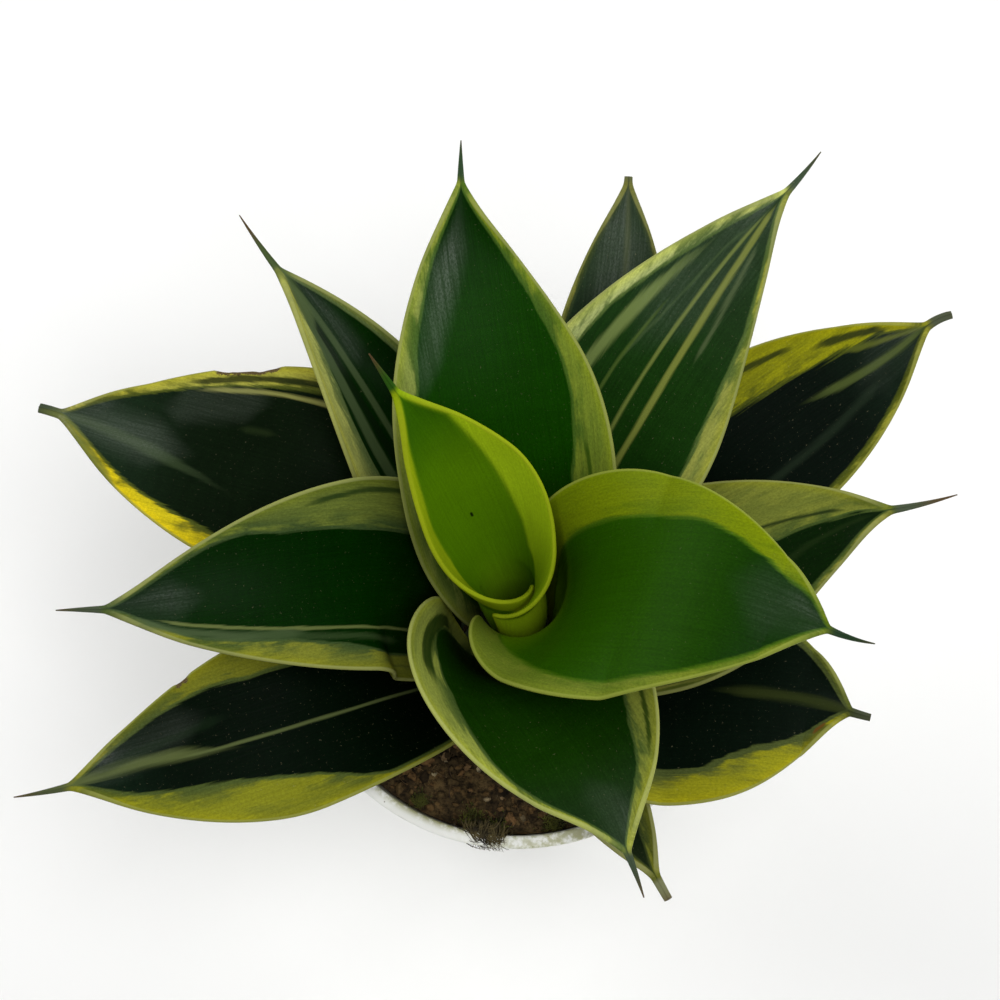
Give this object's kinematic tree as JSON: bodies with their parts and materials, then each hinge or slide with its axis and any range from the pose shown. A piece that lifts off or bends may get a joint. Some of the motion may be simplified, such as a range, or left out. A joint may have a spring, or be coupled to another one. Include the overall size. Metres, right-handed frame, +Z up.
{
  "type": "potted snake plant",
  "caption": "Dwarf bird's-nest snake plant in a round tapered pot: stiff pointed leaves with pale margins in a rosette round a rolled young leaf.",
  "frame": {"origin": "centre of the pot's flat underside, on the pot's axis", "axes": "+Z up along the pot's axis, -Y towards the front, which is the lower side of the picture, and +X towards its right side"},
  "size_m": [0.2338, 0.1865, 0.1941],
  "materials": {
    "pot_plastic": "satin moulded plastic with algae stains on the lip",
    "potting_soil": "crumbly dark brown peat mix with fibres and pale flecks",
    "rhizome": "dry papery tan skin",
    "leaf_young": "fresh lime green with pale yellow-green margins, waxy",
    "leaf_mid": "mid green with lime margins, waxy",
    "leaf_deep": "deep green with grey-green margins and streaks, waxy",
    "leaf_old": "near-black green with yellow to olive margins and streaks, glossy"
  },
  "bodies": {
    "root": {"pot": "pot_plastic", "soil": "potting_soil", "crown": "rhizome", "leaf_01": "leaf_young", "leaf_02": "leaf_mid", "leaf_03": "leaf_deep", "leaf_04": "leaf_deep", "leaf_05": "leaf_deep", "leaf_06": "leaf_deep", "leaf_07": "leaf_deep", "leaf_08": "leaf_deep", "leaf_09": "leaf_old", "leaf_10": "leaf_old", "leaf_11": "leaf_old", "leaf_12": "leaf_old", "leaf_13": "leaf_old", "leaf_14": "leaf_old"}
  },
  "joints": []
}
